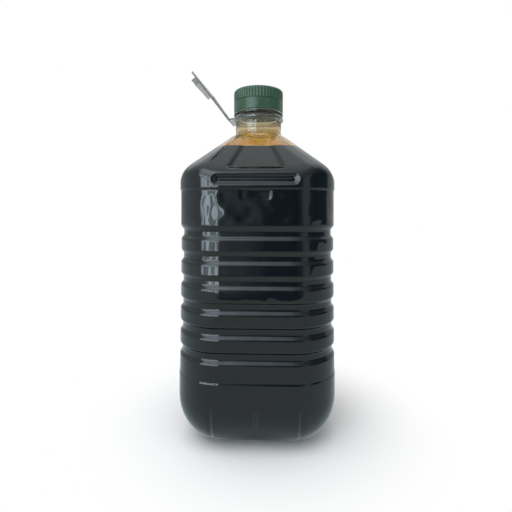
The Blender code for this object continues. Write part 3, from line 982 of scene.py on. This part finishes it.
def make_cap_material(moulded):
    """Dark green, lighter and duller in patches, and paler towards the top edge."""
    material, tree, shader = new_material("Green moulded plastic")
    place, (_, _, height) = object_place(tree)
    patches, normal = add_moulded(tree, moulded, place, CAP_GRAIN)
    green = add_mix(tree, patches, CAP_GREEN, CAP_GREEN_DULL)
    # the green is mixed paler towards the top edge
    near_top = add_step(tree, height, CAP_TOP - CAP_PALER_TOP_HEIGHT, CAP_TOP)
    paler_top = add_math(tree, "MULTIPLY", near_top, CAP_PALER_TOP_SHARE)
    tree.links.new(add_mix(tree, paler_top, green, CAP_GREEN_NEAR_TOP), shader.inputs["Base Color"])
    duller = add_math(tree, "MULTIPLY", patches, CAP_DULLER_IN_PATCHES)
    tree.links.new(add_math(tree, "ADD", duller, CAP_ROUGHNESS), shader.inputs["Roughness"])
    tree.links.new(normal, shader.inputs["Normal"])
    return material


def handle_masks(tree, place):
    """Where the handle is past its hinge, and where it is in the grip."""
    hinge = loop_frame()
    up_lean = hinge.col[0].xyz
    sideways = hinge.col[1].xyz
    along = add_length_along(tree, place, up_lean)
    along = add_math(tree, "SUBTRACT", along, hinge.translation.dot(up_lean))
    across = add_length_along(tree, place, sideways)
    across = add_math(tree, "SUBTRACT", across, hinge.translation.dot(sideways))
    past_hinge = add_step(tree, along, 0.0, 0.001)
    from_middle = add_math(tree, "ABSOLUTE", across)
    in_grip = add_math(tree, "MULTIPLY", add_step(tree, along, BAR_START - 0.001, BAR_START),
                       add_step(tree, from_middle, GRIP_HALF - 0.0006, GRIP_HALF - 0.0014))
    return past_hinge, in_grip


def strap_edges(tree):
    """Mask of the faces that stand on edge to the leaning loop, where painted shade darkens the strap."""
    where = tree.nodes.new("ShaderNodeTexCoord")
    facing = add_length_along(tree, where.outputs["Normal"], loop_frame().col[2].xyz)
    return add_step(tree, add_math(tree, "ABSOLUTE", facing), *STRAP_EDGE_FACING)


def make_handle_material(moulded):
    """Clear in the ring and tab, with painted shade tinting the ring grey-green and darkening the edges of
    the strap, and milky in the thick grip.
    """
    material, tree, shader = new_material("Milky moulded plastic")
    place, (x, y, _) = object_place(tree)
    patches, normal = add_moulded(tree, moulded, place, HANDLE_GRAIN)
    past_hinge, in_grip = handle_masks(tree, place)
    on_strap = add_math(tree, "SUBTRACT", past_hinge, in_grip, clamp=True)
    # painted shade on the strap's edges
    painted_edge_shade = add_math(tree, "MULTIPLY", on_strap, strap_edges(tree))
    squared = add_math(tree, "ADD", add_math(tree, "POWER", x, 2.0), add_math(tree, "POWER", y, 2.0))
    from_axis = add_math(tree, "SQRT", squared)
    # painted shade: the ring round the neck is tinted dark grey-green
    painted_ring_shade_zone = add_step(tree, from_axis, RING_OUTER + 0.0008, RING_OUTER + 0.0004)
    tint = add_mix(tree, painted_edge_shade, HANDLE_CLEAR, STRAP_EDGE_SHADE)
    tree.links.new(add_mix(tree, painted_ring_shade_zone, tint, RING_PAINTED_SHADE), shader.inputs["Base Color"])
    tree.links.new(normal, shader.inputs["Normal"])
    shader.inputs["Roughness"].default_value = HANDLE_ROUGHNESS
    shader.inputs["Transmission Weight"].default_value = 1.0
    shader.inputs["IOR"].default_value = HANDLE_IOR
    milky = tree.nodes.new("ShaderNodeBsdfPrincipled")
    milky.inputs["Roughness"].default_value = MILKY_ROUGHNESS
    grip_tint = add_mix(tree, patches, HANDLE_MILK, HANDLE_MILK_DULL)
    # the milky grip takes the same painted shade on the strap's edges
    tree.links.new(add_mix(tree, painted_edge_shade, grip_tint, STRAP_EDGE_SHADE), milky.inputs["Base Color"])
    milk = add_math(tree, "ADD", add_math(tree, "MULTIPLY", past_hinge, MILK_IN_STRAP),
                    add_math(tree, "MULTIPLY", in_grip, MILK_IN_GRIP))
    milk = add_math(tree, "ADD", milk, MILK_IN_RING)
    show_surface(tree, add_mix_shader(tree, milk, shader.outputs[0], milky.outputs[0]))
    return material


# Floor

def add_glow(tree, colour):
    node = tree.nodes.new("ShaderNodeEmission")
    if isinstance(colour, tuple):
        node.inputs["Color"].default_value = (*colour, 1)
    else:
        tree.links.new(colour, node.inputs["Color"])
    return node.outputs[0]


def make_floor():
    """Plain pale floor, white away from the jug; the plastic reflects it as a painted reflection that glows
    dim as in a room, with a painted shadow under the jug and painted window light towards the left.
    """
    shape = bmesh.new()
    middle = Matrix.Translation((0, FLOOR_HALF - FLOOR_FRONT, -FLOOR_DROP))
    bmesh.ops.create_grid(shape, x_segments=1, y_segments=1, size=FLOOR_HALF, matrix=middle)
    material, tree, shader = new_material("Pale floor")
    shader.inputs["Base Color"].default_value = (*FLOOR_PAINT, 1)
    shader.inputs["Roughness"].default_value = FLOOR_ROUGHNESS
    shader.inputs["Specular IOR Level"].default_value = 0.0
    place, (across, _, _) = object_place(tree)
    measure = tree.nodes.new("ShaderNodeVectorMath")
    measure.operation = "LENGTH"
    tree.links.new(place, measure.inputs[0])
    reach = measure.outputs["Value"]

    # painted reflection: window light painted towards the left and a shadow painted under the jug
    painted_window_side = add_step(tree, across, PAINTED_WINDOW_LIGHT_FROM, PAINTED_WINDOW_LIGHT_TO)
    painted_lit_floor = add_mix(tree, painted_window_side, FLOOR_PAINTED_REFLECTION, FLOOR_PAINTED_WINDOW_LIGHT)
    out_of_painted_shadow = add_step(tree, reach, FLOOR_PAINTED_SHADOW_TO, FLOOR_PAINTED_SHADOW_END)
    painted_reflection_glow = add_glow(tree, add_mix(tree, out_of_painted_shadow, FLOOR_PAINTED_SHADOW, painted_lit_floor))

    far = add_step(tree, reach, FLOOR_SHADE_TO, FLOOR_WHITE_FROM)
    direct = add_mix_shader(tree, far, shader.outputs[0], add_glow(tree, WHITE))
    seen = tree.nodes.new("ShaderNodeLightPath").outputs
    mirrored = add_math(tree, "ADD", seen["Is Glossy Ray"], seen["Is Transmission Ray"], clamp=True)
    show_surface(tree, add_mix_shader(tree, mirrored, direct, painted_reflection_glow))
    object_from_shape("floor", shape, material, smooth=False)


# Studio

def turn_stops(stops):
    """Stops given by turn in degrees, left of the front positive, and brightness with a cool tint."""
    placed = []
    for degrees, bright, tint in stops:
        placed.append(((degrees + 180) / 360, tuple(bright * share for share in tint)))
    return placed


def add_fade(tree, value, degrees):
    start, end = degrees
    return add_step(tree, value, math.radians(start), math.radians(end))


def thin_curtain(tree, direction, turn):
    """Brightness of the folds in the curtain, and 1 outside the window."""
    folds = tree.nodes.new("ShaderNodeTexWave")
    folds.bands_direction = "DIAGONAL"
    folds.inputs["Scale"].default_value = CURTAIN_SCALE
    folds.inputs["Distortion"].default_value = CURTAIN_WAVER
    folds.inputs["Detail"].default_value = CURTAIN_DETAIL
    folds.inputs["Detail Scale"].default_value = CURTAIN_DETAIL_SCALE
    tree.links.new(direction, folds.inputs["Vector"])
    in_window = add_math(tree, "MULTIPLY", add_fade(tree, turn, WINDOW_RIGHT),
                         add_fade(tree, turn, WINDOW_LEFT))
    return add_mix(tree, in_window, WHITE, add_ramp(tree, folds.outputs["Fac"], CURTAIN_STOPS))


def make_world():
    """Studio as the plastic mirrors it: a bright pane at the left front, a dim room, pale walls behind."""
    world = bpy.data.worlds.new("Studio")
    bpy.context.scene.world = world
    world.use_nodes = True
    tree = world.node_tree
    tree.nodes.clear()
    direction = tree.nodes.new("ShaderNodeTexCoord").outputs["Generated"]
    split = tree.nodes.new("ShaderNodeSeparateXYZ")
    tree.links.new(direction, split.inputs[0])
    left = add_math(tree, "MULTIPLY", split.outputs["X"], -1.0)
    front = add_math(tree, "MULTIPLY", split.outputs["Y"], -1.0)
    turn = add_math(tree, "ARCTAN2", left, front)
    share = add_math(tree, "ADD", add_math(tree, "DIVIDE", turn, 2 * math.pi), 0.5)
    level = add_math(tree, "ARCSINE", split.outputs["Z"])

    walls = add_ramp(tree, share, turn_stops(WALL_STOPS))
    studio = add_mix(tree, 1.0, walls, thin_curtain(tree, direction, turn), blend="MULTIPLY")
    middle = add_ramp(tree, share, turn_stops(MIDDLE_STOPS))
    upper = add_ramp(tree, share, turn_stops(UPPER_STOPS))
    bands = ((MIDDLE_FADE, middle), (UPPER_FADE, upper), (CEILING_FADE, CEILING), (GROUND_FADE, BELOW))
    for fade, light in bands:
        studio = add_mix(tree, add_fade(tree, level, fade), studio, light)
    seen = tree.nodes.new("ShaderNodeLightPath").outputs
    rays = (("Is Diffuse Ray", SOFT_LIGHT), ("Is Transmission Ray", BEHIND_CLEAR), ("Is Camera Ray", WHITE))
    for ray, light in rays:
        studio = add_mix(tree, seen[ray], studio, light)
    background = tree.nodes.new("ShaderNodeBackground")
    tree.links.new(studio, background.inputs["Color"])
    output = tree.nodes.new("ShaderNodeOutputWorld")
    tree.links.new(background.outputs[0], output.inputs["Surface"])


def make_overhead_light():
    light = bpy.data.lights.new("overhead", "AREA")
    light.shape = "RECTANGLE"
    light.size = LIGHT_SIZE
    light.size_y = LIGHT_SIZE
    light.energy = LIGHT_POWER
    thing = bpy.data.objects.new("overhead", light)
    PIECES.objects.link(thing)
    thing.location = LIGHT_PLACE
    thing.rotation_euler = (-Vector(LIGHT_PLACE)).to_track_quat("-Z", "Y").to_euler()
    thing.visible_camera = False
    thing.visible_glossy = False
    thing.visible_transmission = False


def make_camera():
    camera = bpy.data.cameras.new("camera")
    camera.sensor_width = SENSOR
    camera.lens = FOCAL_PIXELS / PICTURE_SIZE * SENSOR
    camera.shift_x = (PICTURE_SIZE / 2 - AXIS_COLUMN) / PICTURE_SIZE
    camera.shift_y = (HORIZON_ROW - PICTURE_SIZE / 2) / PICTURE_SIZE
    camera.clip_start = 0.01
    thing = bpy.data.objects.new("camera", camera)
    PIECES.objects.link(thing)
    x = CAMERA_DISTANCE * math.sin(CAMERA_TURN)
    y = -CAMERA_DISTANCE * math.cos(CAMERA_TURN)
    place = Matrix.Translation((x, y, CAMERA_HEIGHT))
    level = Matrix.Rotation(CAMERA_TURN, 4, "Z") @ Matrix.Rotation(math.pi / 2, 4, "X")
    thing.matrix_world = place @ level @ Matrix.Rotation(CAMERA_ROLL, 4, "Z")
    bpy.context.scene.camera = thing


# Assembly

def place_piece(piece, node):
    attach(piece, "root")
    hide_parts(node)


make_camera()
bpy.context.scene.view_settings.view_transform = "Standard"
place_piece(make_bottle(make_clear_plastic()), "bottle")
vinegar = make_vinegar_material()
place_piece(make_vinegar(vinegar), "vinegar")
drops = make_drops(vinegar)
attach(drops, "root")
moulded = moulded_surface()
place_piece(make_cap(make_cap_material(moulded)), "cap")
place_piece(make_handle(make_handle_material(moulded)), "handle")
make_floor()
make_world()
make_overhead_light()
